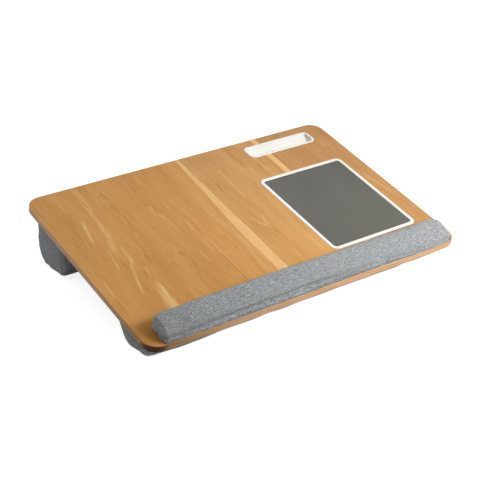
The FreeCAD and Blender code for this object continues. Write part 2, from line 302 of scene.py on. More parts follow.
class Effects:
    """The shader node groups that several finishes share, each built once."""

    fibre_sway: float = 0.012
    ring_sway: float = 0.05
    ring_rise: tuple[float, float] = (0.11, 0.06)
    flame_tip: float = 0.08
    yarn_step: float = 7.31
    yarn_rate: float = 190.0
    weft_seed: float = 9.0

    def __init__(self) -> None:
        """Build every group."""
        self.grain = self.build_grain()
        self.streak = self.build_streak()
        self.weave = self.build_weave()
        self.texture = self.build_texture()

    def build_grain(self) -> NodeTree:
        """Wood figure along Y: rings round a heart at X zero, slow drift, fibres, pores and pale sparks.

        Returns:
            The group.
        """
        outputs = ("Rings", "Drift", "Fibre", "Pores", "Sparks")
        effect = Effect("wood_grain", {"Vector": "Vector", "Spacing": "Float"}, outputs)
        sheet = effect.sheet
        vector = effect.given["Vector"]
        sway = sheet.noise(sheet.place(vector, scale=(16.0, 5.0, 1.0)))
        x, y, z = sheet.split(vector)
        bent = sheet.join(sheet.math("MULTIPLY_ADD", sway, self.fibre_sway, x), y, z)
        across = sheet.math("MULTIPLY_ADD", sway, self.ring_sway, x)
        rise = sheet.math("MULTIPLY_ADD", y, *self.ring_rise)
        squares = sheet.plus(sheet.times(across, across), sheet.times(rise, rise))
        radius = sheet.math("SQRT", squares)
        ring = sheet.math("FRACT", sheet.math("DIVIDE", radius, effect.given["Spacing"]))
        late = sheet.times(sheet.remap(ring, 0.25, 0.85), sheet.remap(ring, 1.0, 0.9))
        drift = sheet.noise(sheet.place(bent, scale=(30.0, 4.0, 1.0)), detail=3.0)
        fibre = sheet.noise(sheet.place(bent, scale=(430.0, 15.0, 1.0)), detail=4.0, roughness=0.6)
        clump = sheet.remap(sheet.noise(sheet.place(bent, scale=(40.0, 12.0, 1.0))), 0.50, 0.70)
        speck = sheet.noise(sheet.place(bent, scale=(540.0, 32.0, 1.0)), detail=1.0)
        pores = sheet.times(sheet.remap(speck, 0.54, 0.68), clump)
        sparks = sheet.times(sheet.remap(speck, 0.46, 0.32), clump)
        return effect.give(rings=late, drift=drift, fibre=fibre, pores=pores, sparks=sparks)

    def build_streak(self) -> NodeTree:
        """Mask of one flame in the wood, in its own frame: 1 inside, pointed at its far end by a taper.

        Returns:
            The group.
        """
        effect = Effect("wood_streak", {"Vector": "Vector", "Taper": "Float"}, ("Mask",))
        sheet = effect.sheet
        vector = effect.given["Vector"]
        x, y, _ = sheet.split(vector)
        narrowing = sheet.times(effect.given["Taper"], sheet.math("MULTIPLY_ADD", y, 0.5, 0.5))
        width = sheet.math("MAXIMUM", sheet.minus(1.0, narrowing), self.flame_tip)
        sides = sheet.remap(sheet.math("ABSOLUTE", sheet.math("DIVIDE", x, width)), 1.6, 0.1)
        ends = sheet.remap(sheet.math("ABSOLUTE", y), 1.0, 0.45)
        return effect.give(mask=sheet.times(sides, ends))

    def build_weave(self) -> NodeTree:
        """Plain weave of mixed yarns on a flat cloth map: the yarn's tone, and the height of its threads.

        Returns:
            The group.
        """
        effect = Effect("heather_weave", {"Vector": "Vector", "Pitch": "Float"}, ("Tone", "Height"))
        sheet = effect.sheet
        u, v, _ = sheet.split(effect.given["Vector"])
        along = sheet.math("DIVIDE", u, effect.given["Pitch"])
        across = sheet.math("DIVIDE", v, effect.given["Pitch"])
        columns = sheet.math("FLOOR", along)
        rows = sheet.math("FLOOR", across)
        over = sheet.math("MODULO", sheet.math("ABSOLUTE", sheet.plus(columns, rows)), 2.0)
        warp = sheet.math("ABSOLUTE", sheet.math("SINE", sheet.times(across, math.pi)))
        weft = sheet.math("ABSOLUTE", sheet.math("SINE", sheet.times(along, math.pi)))
        under = sheet.minus(1.0, over)
        height = sheet.plus(sheet.times(warp, over), sheet.times(weft, under))
        warp_place = sheet.join(sheet.times(u, self.yarn_rate), sheet.times(rows, self.yarn_step))
        weft_place = sheet.join(sheet.times(columns, self.yarn_step), sheet.times(v, self.yarn_rate),
                                self.weft_seed)
        warp_yarn = sheet.times(sheet.noise(warp_place), over)
        yarn = sheet.plus(warp_yarn, sheet.times(sheet.noise(weft_place), under))
        return effect.give(tone=yarn, height=height)

    def build_texture(self) -> NodeTree:
        """Fine moulded or pressed surface: a pebbled height, and a slow drift of wear.

        Returns:
            The group.
        """
        effect = Effect("fine_texture", {"Vector": "Vector", "Scale": "Float"}, ("Pebble", "Drift"))
        sheet = effect.sheet
        vector = effect.given["Vector"]
        cells = sheet.add("ShaderNodeTexVoronoi", {"Vector": vector, "Scale": effect.given["Scale"]})
        drift = sheet.noise(vector, scale=14.0, detail=3.0)
        return effect.give(pebble=cells.outputs["Distance"], drift=drift)


class Finish:
    """A finish of one material: it starts a material and keeps its shader at hand."""

    name: str = "finish"

    def start(self) -> tuple[Material, Sheet, Node]:
        """Make the material.

        Returns:
            The material, its node sheet and its shader.
        """
        material = bpy.data.materials.new(self.name)
        material.use_nodes = True
        return material, Sheet(material.node_tree), material.node_tree.nodes["Principled BSDF"]

    def material(self, effects: Effects, stance: Stance) -> Material:
        """Build the finish.

        Args:
            effects: The shared node groups.
            stance: How the board stands, for patterns that follow the board.

        Returns:
            The material.
        """
        raise NotImplementedError

    @staticmethod
    def board_vector(sheet: Sheet, stance: Stance) -> NodeSocket:
        """Object coordinates taken into the board's own frame, X across the grain and Y along it.

        Args:
            sheet: Where the nodes go.
            stance: How the board stands.

        Returns:
            Place on the board.
        """
        coordinates = sheet.add("ShaderNodeTexCoord", {}).outputs["Object"]
        place = (0.0, stance.middle_y, stance.middle_z)
        return sheet.into(coordinates, location=place, rotation=(stance.slope, 0.0, 0.0))


@dataclass(frozen=True)
class Plank:
    """One strip of the veneer.

    It has a left edge, a tone at the back and at the front, a heart that its rings go round, and
    sometimes a pale strip of sapwood along its right edge, with a width at the back and at the front.
    """

    left: float
    back: Colour
    front: Colour
    heart: float
    sapwood: tuple[float, float] = (0.0, 0.0)


@dataclass(frozen=True)
class Flame:
    """A streak in the veneer: its middle, half sizes, lean and how strongly it shows."""

    x: float
    y: float
    half_width: float
    half_length: float
    lean: float
    strength: float
    taper: float = 0.0


@dataclass(frozen=True)
class VeneerFinish(Finish):
    """Satin oak veneer in spliced planks, with sapwood beside the splices and pale flames, and a painted
    shadow at the front-left corner beside the wrist rest's left end.
    """

    name: str = "oak_veneer"
    planks: tuple[Plank, ...] = (
        Plank(-0.300, shade(203, 151, 90), shade(202, 149, 86), -0.215, (0.0072, 0.0185)),
        Plank(-0.005, shade(197, 151, 97), shade(202, 152, 91), 0.030, (0.0110, 0.0110)),
        Plank(0.149, shade(186, 140, 91), shade(181, 133, 84), 0.235),
    )
    half_depth: float = 0.187
    splice: float = 0.0004
    splice_line: float = 0.0010
    sap_blend: float = 0.0012
    sap_run: tuple[float, float] = (0.187, -0.060)
    pale: Colour = shade(223, 180, 124)
    pale_flames: tuple[Flame, ...] = (
        Flame(-0.0340, -0.030, 0.0090, 0.200, 0.0, 0.32),
        Flame(0.1210, 0.120, 0.0090, 0.090, 0.0, 0.25),
        Flame(0.0675, -0.040, 0.0070, 0.110, 0.0, 0.25),
        Flame(-0.2297, 0.077, 0.0026, 0.036, -0.18, 0.90),
        Flame(-0.2027, 0.148, 0.0016, 0.044, 0.0, 0.65),
        Flame(-0.1975, 0.150, 0.0014, 0.040, 0.0, 0.60),
        Flame(-0.2015, 0.117, 0.0028, 0.016, -0.20, 0.50),
        Flame(-0.2060, 0.078, 0.0040, 0.034, -0.12, 0.60),
        Flame(-0.2105, 0.040, 0.0046, 0.030, -0.25, 0.65),
        Flame(-0.2045, 0.004, 0.0028, 0.026, -0.10, 0.60),
        Flame(-0.2095, -0.018, 0.0028, 0.018, -0.50, 0.50),
        Flame(-0.2208, -0.053, 0.0021, 0.036, -0.235, 0.90),
        Flame(-0.2282, 0.001, 0.0017, 0.028, -0.16, 0.60),
        Flame(-0.2050, -0.120, 0.0170, 0.070, -0.10, 0.75, 0.95),
        Flame(-0.2005, -0.118, 0.0080, 0.062, -0.09, 0.95, 0.90),
        Flame(-0.1972, -0.043, 0.0018, 0.016, -0.10, 0.70),
        Flame(-0.2668, -0.056, 0.0017, 0.030, -0.09, 0.60),
        Flame(-0.1675, 0.080, 0.0014, 0.016, 0.0, 0.50),
        Flame(-0.1665, 0.040, 0.0013, 0.008, 0.0, 0.55),
        Flame(-0.1800, 0.153, 0.0020, 0.034, -0.03, 0.45),
        Flame(-0.1720, 0.142, 0.0020, 0.032, 0.0, 0.25),
        Flame(-0.2360, 0.155, 0.0020, 0.030, 0.0, 0.30),
        Flame(-0.1155, 0.082, 0.0028, 0.016, 0.0, 0.45),
        Flame(-0.1098, 0.060, 0.0024, 0.013, 0.15, 0.60),
        Flame(-0.1060, 0.035, 0.0010, 0.022, 0.0, 0.45),
        Flame(-0.1035, -0.048, 0.0010, 0.020, 0.0, 0.50),
        Flame(-0.0980, 0.158, 0.0018, 0.012, 0.10, 0.45),
        Flame(-0.0850, -0.030, 0.0017, 0.022, 0.05, 0.45),
        Flame(-0.0750, -0.036, 0.0017, 0.028, -0.10, 0.40),
        Flame(-0.0755, -0.085, 0.0012, 0.036, 0.0, 0.50),
        Flame(-0.0830, 0.022, 0.0026, 0.024, 0.0, 0.30),
        Flame(-0.0505, -0.006, 0.0017, 0.012, 0.10, 0.50),
        Flame(0.0385, 0.112, 0.0011, 0.024, 0.0, 0.55),
        Flame(0.0370, 0.075, 0.0018, 0.032, 0.0, 0.40),
        Flame(0.0180, -0.0140, 0.0020, 0.021, 0.39, 0.60),
        Flame(0.0290, -0.0140, 0.0018, 0.018, -0.31, 0.45),
        Flame(0.0815, 0.1165, 0.0028, 0.012, 1.35, 0.30),
        Flame(0.0895, 0.0980, 0.0030, 0.022, -0.08, 0.45),
        Flame(0.2620, -0.010, 0.0040, 0.050, 0.15, 0.35),
    )
    dark_lines: tuple[Flame, ...] = (
        Flame(-0.1050, -0.030, 0.0850, 0.400, 0.0, 0.22),
        Flame(-0.1200, 0.110, 0.0009, 0.026, 0.0, 0.8),
        Flame(-0.1195, 0.045, 0.0008, 0.036, 0.0, 0.8),
        Flame(-0.0785, -0.086, 0.0009, 0.046, 0.0, 1.0),
        Flame(-0.0408, -0.062, 0.0008, 0.078, 0.0, 0.7),
        Flame(-0.0560, 0.110, 0.0009, 0.052, 0.0, 0.5),
        Flame(-0.0290, 0.115, 0.0008, 0.036, 0.0, 0.5),
        Flame(0.0605, 0.100, 0.0009, 0.038, 0.0, 0.5),
        Flame(0.0600, 0.015, 0.0009, 0.058, 0.0, 0.6),
        Flame(0.0305, -0.044, 0.0016, 0.011, 0.0, 0.9),
        Flame(0.0845, 0.153, 0.0032, 0.040, 0.05, 0.6),
        Flame(0.1330, 0.108, 0.0013, 0.040, 0.0, 0.6),
        Flame(0.1060, 0.105, 0.0013, 0.024, 0.0, 0.5),
        Flame(-0.2460, 0.088, 0.0013, 0.026, -0.15, 0.7),
        Flame(-0.2410, 0.098, 0.0010, 0.016, -0.10, 0.6),
        Flame(-0.2030, -0.046, 0.0018, 0.010, -0.10, 0.9),
        Flame(-0.2685, -0.096, 0.0014, 0.030, 0.0, 0.7),
        Flame(-0.1330, -0.028, 0.0030, 0.008, 0.0, 0.8),
        Flame(-0.1285, -0.064, 0.0013, 0.028, -0.28, 0.7),
        Flame(-0.2090, 0.088, 0.0020, 0.012, -0.20, 0.6),
        Flame(-0.2090, 0.010, 0.0015, 0.010, 0.0, 0.6),
        Flame(-0.1660, 0.152, 0.0011, 0.010, -0.60, 0.6),
    )
    wander: float = 0.007
    torn: tuple[float, float] = (0.42, 1.0)
    # painted shadow: the veneer is darkened round the front-left corner, where the wrist rest's left end
    # shades it
    painted_rest_shadow: Colour = (0.80, 0.72, 0.52, 1.0)
    rest_shadow_place: tuple[float, float, float] = (-0.272, -0.160, 0.0)
    rest_shadow_reach: tuple[float, float] = (0.040, 0.008)
    ring_spacing: float = 0.0125
    figure_shade: Colour = (0.84, 0.79, 0.70, 1.0)
    fibre_shade: Colour = (0.84, 0.79, 0.71, 1.0)
    pore_shade: Colour = (0.70, 0.62, 0.50, 1.0)
    plank_seed: float = 3.7
    sap_share: float = 0.9
    spark_share: float = 0.35
    drift_share: float = 0.62
    ring_share: float = 0.12
    fibre_share: float = 0.52
    pore_share: float = 0.7
    line_share: float = 0.55
    roughness: tuple[float, float] = (0.46, 0.60)
    relief: float = 0.00006
    relief_share: float = 0.35
    specular: float = 0.12

    def streaks(self, sheet: Sheet, effects: Effects, vector: NodeSocket,
                flames: Iterable[Flame]) -> NodeSocket:
        """Sum of the masks of several streaks.

        Args:
            sheet: Where the nodes go.
            effects: The shared node groups.
            vector: Place on the board.
            flames: The streaks.

        Returns:
            How strongly they show, from 0 up.
        """
        total: Feed = 0.0
        for flame in flames:
            local = sheet.into(vector, location=(flame.x, flame.y, 0.0), rotation=(0.0, 0.0, flame.lean),
                               scale=(flame.half_width, flame.half_length, 1.0))
            mask = sheet.group(effects.streak, vector=local, taper=flame.taper).outputs["Mask"]
            total = sheet.math("MULTIPLY_ADD", mask, flame.strength, total)
        return total

    def material(self, effects: Effects, stance: Stance) -> Material:
        """Build the veneer, as the base class says.

        Args:
            effects: The shared node groups.
            stance: How the board stands.

        Returns:
            The material.
        """
        material, sheet, shader = self.start()
        board = self.board_vector(sheet, stance)
        x, y, _ = sheet.split(board)
        forward = sheet.remap(y, self.half_depth, -self.half_depth)
        tone = sheet.mix(forward, self.planks[0].back, self.planks[0].front)
        heart: Feed = self.planks[0].heart
        seed: Feed = 0.0
        pale: Feed = 0.0
        dark: Feed = 0.0
        for before, plank in zip(self.planks, self.planks[1:]):
            off = sheet.minus(x, plank.left)
            right = sheet.remap(off, -self.splice, self.splice)
            tone = sheet.mix(right, tone, sheet.mix(forward, plank.back, plank.front))
            heart = sheet.math("MULTIPLY_ADD", right, plank.heart - before.heart, heart)
            seed = sheet.math("MULTIPLY_ADD", right, self.plank_seed, seed)
            width = sheet.remap(y, *self.sap_run, *before.sapwood)
            sap = sheet.remap(sheet.plus(off, width), -self.sap_blend, self.sap_blend)
            pale = sheet.plus(pale, sheet.times(sap, sheet.minus(1.0, right)))
            line = sheet.math("ABSOLUTE", sheet.minus(off, self.splice_line))
            dark = sheet.plus(dark, sheet.remap(line, self.splice_line, 0.0))
        figure = sheet.join(sheet.minus(x, heart), y, seed)
        grain = sheet.group(effects.grain, vector=figure, spacing=self.ring_spacing)
        rings, drift, fibre, pores, sparks = grain.outputs
        sway = sheet.noise(sheet.place(board, scale=(36.0, 14.0, 1.0)), detail=4.0, roughness=0.55)
        middle = sheet.minus(x, self.wander / 2)
        wavy = sheet.join(sheet.math("MULTIPLY_ADD", sway, self.wander, middle), y)
        torn = sheet.noise(sheet.place(wavy, scale=(380.0, 16.0, 1.0)), detail=3.0, roughness=0.6)
        flames = self.streaks(sheet, effects, wavy, self.pale_flames)
        broken = sheet.times(flames, sheet.remap(torn, 0.36, 0.60, *self.torn))
        broken = sheet.math("MULTIPLY_ADD", sparks, self.spark_share, broken)
        pale = sheet.math("MINIMUM", sheet.math("MULTIPLY_ADD", pale, self.sap_share, broken), 1.0)
        lines = self.streaks(sheet, effects, wavy, self.dark_lines)
        dark = sheet.math("MINIMUM", sheet.plus(dark, lines), 1.0)
        figured = sheet.remap(drift, 0.32, 0.68, 0.0, self.drift_share)
        colour = sheet.mix(figured, tone, self.figure_shade, "MULTIPLY")
        colour = sheet.mix(sheet.times(rings, self.ring_share), colour, self.figure_shade, "MULTIPLY")
        colour = sheet.mix(pale, colour, self.pale)
        fibrous = sheet.remap(fibre, 0.40, 0.70, 0.0, self.fibre_share)
        colour = sheet.mix(fibrous, colour, self.fibre_shade, "MULTIPLY")
        colour = sheet.mix(sheet.times(pores, self.pore_share), colour, self.pore_shade, "MULTIPLY")
        colour = sheet.mix(sheet.times(dark, self.line_share), colour, self.pore_shade, "MULTIPLY")
        # painted shadow of the wrist rest's left end: darkens the veneer within a few centimetres of the
        # front-left corner
        near = sheet.remap(sheet.distance(board, self.rest_shadow_place), *self.rest_shadow_reach)
        sheet.fill(shader, {
            "Base Color": sheet.mix(near, colour, self.painted_rest_shadow, "MULTIPLY"),
            "Roughness": sheet.remap(fibre, 0.3, 0.7, *self.roughness),
            "Normal": sheet.bump(sheet.minus(fibre, pores), self.relief, self.relief_share),
            "Specular IOR Level": self.specular,
        })
        return material


@dataclass(frozen=True)
class EdgeFinish(Finish):
    """Thin wood band round the board's edge, with its grain along the edge, painted shade towards its
    front-left corner and a dark painted crescent of shade at that corner.
    """

    name: str = "edge_oak"
    tone: Colour = shade(206, 164, 124)
    fibre_shade: Colour = (0.74, 0.66, 0.58, 1.0)
    ring_shade: Colour = (0.84, 0.78, 0.70, 1.0)
    # painted shade: the band darkens towards the front-left corner, where less light falls on it
    painted_band_shade: Colour = (0.60, 0.57, 0.45, 1.0)
    band_shade_reach: tuple[float, float] = (0.150, 0.015)
    # painted shade: a dark crescent on the band at the front-left corner, below its lit top rim
    painted_crescent_shade: Colour = (0.20, 0.13, 0.05, 1.0)
    crescent_reach: tuple[float, float] = (0.028, 0.009)
    painted_shade_place: tuple[float, float, float] = (-0.2700, -0.1826, -0.0050)
    crescent_rim: tuple[float, float] = (-0.0003, -0.0008)
    figure_stretch: float = 1.6
    figure_seed: float = 5.0
    ring_spacing: float = 0.012
    fibre_share: float = 0.6
    ring_share: float = 0.4
    pore_share: float = 0.4
    roughness: tuple[float, float] = (0.42, 0.56)
    relief: float = 0.00005
    relief_share: float = 0.3
    specular: float = 0.12

    def material(self, effects: Effects, stance: Stance) -> Material:
        """Build the edge band, as the base class says.

        Args:
            effects: The shared node groups.
            stance: How the board stands.

        Returns:
            The material.
        """
        material, sheet, shader = self.start()
        board = self.board_vector(sheet, stance)
        x, y, z = sheet.split(board)
        figure = sheet.join(sheet.times(z, self.figure_stretch), sheet.plus(x, y), self.figure_seed)
        grain = sheet.group(effects.grain, vector=figure, spacing=self.ring_spacing)
        rings, _, fibre, pores, _ = grain.outputs
        fibrous = sheet.remap(fibre, 0.4, 0.72, 0.0, self.fibre_share)
        colour = sheet.mix(fibrous, self.tone, self.fibre_shade, "MULTIPLY")
        colour = sheet.mix(sheet.times(rings, self.ring_share), colour, self.ring_shade, "MULTIPLY")
        colour = sheet.mix(sheet.times(pores, self.pore_share), colour, self.fibre_shade, "MULTIPLY")
        # painted shade round the front-left corner, darkest near it and fading over about fifteen centimetres
        shade_distance = sheet.distance(board, self.painted_shade_place)
        colour = sheet.mix(sheet.remap(shade_distance, *self.band_shade_reach), colour, self.painted_band_shade, "MULTIPLY")
        # painted shade: the dark crescent at the corner, kept off the top rim so the rim stays light
        crescent_mask = sheet.times(sheet.remap(shade_distance, *self.crescent_reach), sheet.remap(z, *self.crescent_rim))
        sheet.fill(shader, {
            "Base Color": sheet.mix(crescent_mask, colour, self.painted_crescent_shade, "MULTIPLY"),
            "Roughness": sheet.remap(fibre, 0.3, 0.7, *self.roughness),
            "Normal": sheet.bump(sheet.minus(fibre, pores), self.relief, self.relief_share),
            "Specular IOR Level": self.specular,
        })
        return material


@dataclass(frozen=True)
class CoatFinish(Finish):
    """A plain finish of one tone with a fine texture: plastic, coated sheet, foil or tape."""

    name: str = "coat"
    tone: Colour = shade(227, 226, 220)
    worn: Colour = shade(220, 219, 212)
    roughness: tuple[float, float] = (0.30, 0.40)
    pebble: float = 2600.0
    depth: float = 0.00002
    specular: float = 0.5
    depth_share: float = 0.4

    def material(self, effects: Effects, stance: Stance) -> Material:
        """Build the finish, as the base class says.

        Args:
            effects: The shared node groups.
            stance: How the board stands; not used here.

        Returns:
            The material.
        """
        material, sheet, shader = self.start()
        coordinates = sheet.add("ShaderNodeTexCoord", {}).outputs["Object"]
        pebble, drift = sheet.group(effects.texture, vector=coordinates, scale=self.pebble).outputs
        sheet.fill(shader, {
            "Base Color": sheet.mix(sheet.remap(drift, 0.3, 0.7), self.tone, self.worn),
            "Roughness": sheet.remap(drift, 0.3, 0.7, *self.roughness),
            "Normal": sheet.bump(pebble, self.depth, self.depth_share),
            "Specular IOR Level": self.specular,
        })
        return material


@dataclass(frozen=True)
class HeatherFinish(Finish):
    """Grey heather cloth: a plain weave of pale, middle and dark yarns."""

    name: str = "grey_heather"
    dark: Colour = shade(96, 102, 106)
    middle: Colour = shade(147, 150, 151)
    light: Colour = shade(191, 193, 193)
    pitch: float = 0.0010
    weave_share: float = 0.35
    fleck_share: float = 0.40
    slub_share: float = 0.30
    roughness: tuple[float, float] = (0.80, 0.95)
    relief: float = 0.00025
    relief_share: float = 0.6
    specular: float = 0.25
    sheen: float = 0.15
    sheen_roughness: float = 0.5

    def material(self, effects: Effects, stance: Stance) -> Material:
        """Build the cloth, as the base class says.

        Args:
            effects: The shared node groups.
            stance: How the board stands; not used here.

        Returns:
            The material.
        """
        material, sheet, shader = self.start()
        cloth = sheet.add("ShaderNodeUVMap", {}, uv_map=CLOTH_UV).outputs[0]
        weave = sheet.group(effects.weave, vector=cloth, pitch=self.pitch)
        tone, height = weave.outputs
        fleck = sheet.noise(sheet.place(cloth, scale=(470.0, 470.0, 1.0)), detail=2.0)
        slub = sheet.noise(sheet.place(cloth, scale=(110.0, 700.0, 1.0)), detail=2.0)
        mixed = sheet.math("MULTIPLY_ADD", fleck, self.fleck_share, sheet.times(tone, self.weave_share))
        mixed = sheet.math("MULTIPLY_ADD", slub, self.slub_share, mixed)
        colour = sheet.mix(sheet.remap(mixed, 0.40, 0.55), self.dark, self.middle)
        sheet.fill(shader, {
            "Base Color": sheet.mix(sheet.remap(mixed, 0.55, 0.70), colour, self.light),
            "Roughness": sheet.remap(tone, 0.2, 0.8, *self.roughness),
            "Normal": sheet.bump(height, self.relief, self.relief_share),
            "Specular IOR Level": self.specular,
            "Sheen Weight": self.sheen,
            "Sheen Roughness": self.sheen_roughness,
        })
        return material


class Slot(Enum):
    """Names of two of the record's material slots, the cloth's and the pad's."""

    CLOTH = "heather_cloth"
    PAD = "pad_leather"


@dataclass(frozen=True)
class Corner:
    """A corner of a cushion's section, in the board's own frame, and its rounding."""

    y: float
    z: float
    radius: float


@dataclass
class Cushion:
    """A filled roll of cloth along the desk, with a sewn panel at each end.

    Its section is given in the board's own frame. It is glued on one side, at the height base, and
    that side never moves. A pair of values is for the left end and the right end.
    """

    name: str
    replaced: tuple[str, ...]
    corners: tuple[Corner, ...]
    half_length: float
    base: float
    stance: Stance
    shift: float = 0.0
    draw_depth: float = 0.06
    draw_height: float = 0.05
    draw_start: float = 0.55
    round_reach: float = 0.010
    round_depth: float = 0.003
    round_rise: float = 1.0
    round_foot: float = 1.0
    left_share: float = 1.0
    flare: float = 0.0
    flare_bend: int = 4
    heel: float = 0.008
    crown: float = 0.003
    domes: tuple[float, float] = (1.4, 1.4)
    spacing: float = 0.003
    stations: int = 120
    crowding: float = 0.35
    ease: float = 0.0008
    pressure: float = 4.0
    travel: float = 0.0025
    fullness: float = 0.006
    fill: float = 0.8
    seam_depth: float = 0.0009
    seam_width: float = 0.0014
    pucker: float = 0.00025
    pucker_length: float = 0.011
    seed: float = 0.0
    frames: int = 20
    arc_segments: int = 5
    panel_shares: tuple[float, ...] = (0.985, 0.95, 0.88, 0.74, 0.5, 0.25)
    obj: Object = field(init=False)
    girth: float = field(init=False)

    def section(self, shape: bmesh.types.BMesh) -> list[bmesh.types.BMVert]:
        """Draw the rounded section at the left seam.

        Args:
            shape: Where it is drawn.

        Returns:
            Its vertices in order round the section, from the middle of the glued side.
        """
        verts = [shape.verts.new((-self.half_length, c.y, c.z)) for c in self.corners]
        shape.faces.new(verts)
        for vert, corner in zip(verts, self.corners):
            sides = [edge.other_vert(vert).co - vert.co for edge in vert.link_edges]
            reach = corner.radius / math.tan(sides[0].angle(sides[1]) / 2)
            bmesh.ops.bevel(shape, geom=[vert], offset=reach, offset_type="OFFSET", affect="VERTICES",
                            segments=self.arc_segments, profile=0.5, material=-1, clamp_overlap=False)
        bmesh.ops.delete(shape, geom=list(shape.faces), context="FACES_ONLY")
        for edge in list(shape.edges):
            cuts = math.ceil(edge.calc_length() / self.spacing) - 1
            if cuts > 0:
                bmesh.ops.subdivide_edges(shape, edges=[edge], cuts=cuts)
        glued = [vert for vert in shape.verts if abs(vert.co.z - self.base) < TOUCH]
        middle = sum(vert.co.y for vert in glued) / len(glued)
        ring = [min(glued, key=lambda vert: abs(vert.co.y - middle))]
        while len(ring) < len(shape.verts):
            nexts = [edge.other_vert(ring[-1]) for edge in ring[-1].link_edges]
            ring.append(next(vert for vert in nexts if vert not in ring[-2:] and vert != ring[0]))
        return ring

    def tube(self, shape: bmesh.types.BMesh) -> None:
        """Run the section along the cushion and mark how far round each vertex lies.

        Args:
            shape: Where the wrap is made.
        """
        around = shape.verts.layers.float.new("around")
        ring = self.section(shape)
        length = 0.0
        for before, vert in zip([ring[0]] + ring, ring):
            length += (vert.co - before.co).length
            vert[around] = length
        self.girth = length + (ring[0].co - ring[-1].co).length
        run = bmesh.ops.extrude_edge_only(shape, edges=list(shape.edges))
        moved = [item for item in run["geom"] if isinstance(item, bmesh.types.BMVert)]
        bmesh.ops.translate(shape, verts=moved, vec=(2 * self.half_length, 0, 0))
        long_edges = [edge for edge in shape.edges if edge.calc_length() > self.half_length]
        bmesh.ops.subdivide_edges(shape, edges=long_edges, cuts=self.stations, use_grid_fill=True)
        for vert in shape.verts:
            share = vert.co.x / self.half_length
            vert.co.x = self.half_length * ((1 + self.crowding) * share - self.crowding * share ** 3)

    def draw_in(self, shape: bmesh.types.BMesh) -> None:
        """Draw the sides in and lift the free side towards the ends, and round both off at the seams.

        Args:
            shape: The closed cushion.
        """
        low, high = min(c.y for c in self.corners), max(c.y for c in self.corners)
        middle, half_depth = (low + high) / 2, (high - low) / 2
        height = max(abs(c.z - self.base) for c in self.corners)
        for vert in shape.verts:
            share = min(abs(vert.co.x) / self.half_length, 1.0)
            pull = max(0.0, (share - self.draw_start) / (1 - self.draw_start)) ** 2
            near = max(0.0, 1 - (1 - share) * self.half_length / self.round_reach)
            rounding = self.round_depth * (1 - math.sqrt(1 - near * near))
            rounding *= self.left_share if vert.co.x < 0 else 1.0
            lift = abs(vert.co.z - self.base) / height
            foot = self.round_foot if vert.co.y < middle else 1.0
            inset = rounding * (foot + (1 - foot) * lift)
            vert.co.x += math.copysign(self.flare * pull * lift ** self.flare_bend, vert.co.x)
            sides = 1 - self.draw_depth * pull - inset / half_depth
            rise = 1 - self.draw_height * pull - self.round_rise * rounding / height
            vert.co.y = middle + (vert.co.y - middle) * sides
            vert.co.z = self.base + (vert.co.z - self.base) * rise

    def close_ends(self, shape: bmesh.types.BMesh) -> None:
        """Close each end by a crowned panel of rings that shrink to its middle.

        Args:
            shape: The wrap, open at both ends.
        """
        panel = shape.faces.layers.int.new("panel")
        for side, dome in zip((-1, 1), self.domes):
            edges = [edge for edge in shape.edges if edge.is_boundary and edge.verts[0].co.x * side > 0]
            rim = {vert for edge in edges for vert in edge.verts}
            middle = sum((vert.co for vert in rim), Vector()) / len(rim)
            last = 1.0
            before = set(shape.faces)
            for share in self.panel_shares:
                run = bmesh.ops.extrude_edge_only(shape, edges=edges)["geom"]
                edges = [item for item in run if isinstance(item, bmesh.types.BMEdge)]
                out = self.crown * (1 - share ** dome)
                for vert in (item for item in run if isinstance(item, bmesh.types.BMVert)):
                    vert.co = middle + (vert.co - middle) * (share / last)
                    heel = smooth(abs(vert.co.z - self.base) / self.heel)
                    vert.co.x = side * (self.half_length + out * heel)
                last = share
            bmesh.ops.contextual_create(shape, geom=edges)
            cap = [face for face in shape.faces if face not in before and len(face.verts) > 4]
            bmesh.ops.poke(shape, faces=cap)
            for face in set(shape.faces) - before:
                face[panel] = side

    def map_cloth(self, shape: bmesh.types.BMesh) -> None:
        """Lay the cloth flat: along and round on the wrap, straight on the end panels, in metres.

        Args:
            shape: The closed cushion.
        """
        layer = shape.loops.layers.uv.new(CLOTH_UV)
        around = shape.verts.layers.float["around"]
        panel = shape.faces.layers.int["panel"]
        for face in shape.faces:
            places = [loop.vert[around] for loop in face.loops]
            wraps = max(places) - min(places) > self.girth / 2
            for loop, place in zip(face.loops, places):
                if face[panel]:
                    loop[layer].uv = (loop.vert.co.y, loop.vert.co.z)
                else:
                    turn = self.girth if wraps and place < self.girth / 2 else 0.0
                    loop[layer].uv = (loop.vert.co.x, place + turn)

    def swell(self, glued: set[int]) -> None:
        """Fill the cushion: a cloth simulation under pressure, with the glued side held.

        Args:
            glued: Vertices that don't move.
        """
        mesh = self.obj.data
        for vert in mesh.vertices:
            if vert.index not in glued:
                vert.co -= vert.normal * self.ease
        rest = [vert.co.copy() for vert in mesh.vertices]
        held = self.obj.vertex_groups.new(name="held")
        held.add(sorted(glued), 1.0, "REPLACE")
        cloth = self.obj.modifiers.new("Cloth", "CLOTH")
        settings = cloth.settings
        settings.quality = 6
        settings.mass = 0.3
        settings.tension_stiffness = 25
        settings.compression_stiffness = 25
        settings.bending_stiffness = 1.0
        settings.shrink_min = -self.fullness
        settings.use_pressure = True
        settings.uniform_pressure_force = self.pressure
        settings.vertex_group_mass = held.name
        settings.effector_weights.gravity = 0
        cloth.point_cache.frame_start = 1
        cloth.point_cache.frame_end = self.frames
        for number in range(1, self.frames + 1):
            bpy.context.scene.frame_set(number)
        swollen = self.obj.evaluated_get(bpy.context.evaluated_depsgraph_get()).to_mesh()
        for vert, before, after in zip(mesh.vertices, rest, swollen.vertices):
            step = after.co - before
            if step.length > self.travel:
                step *= self.travel / step.length
            vert.co = before + step
        self.obj.modifiers.remove(cloth)
        self.obj.vertex_groups.remove(held)
        bpy.context.scene.frame_set(1)

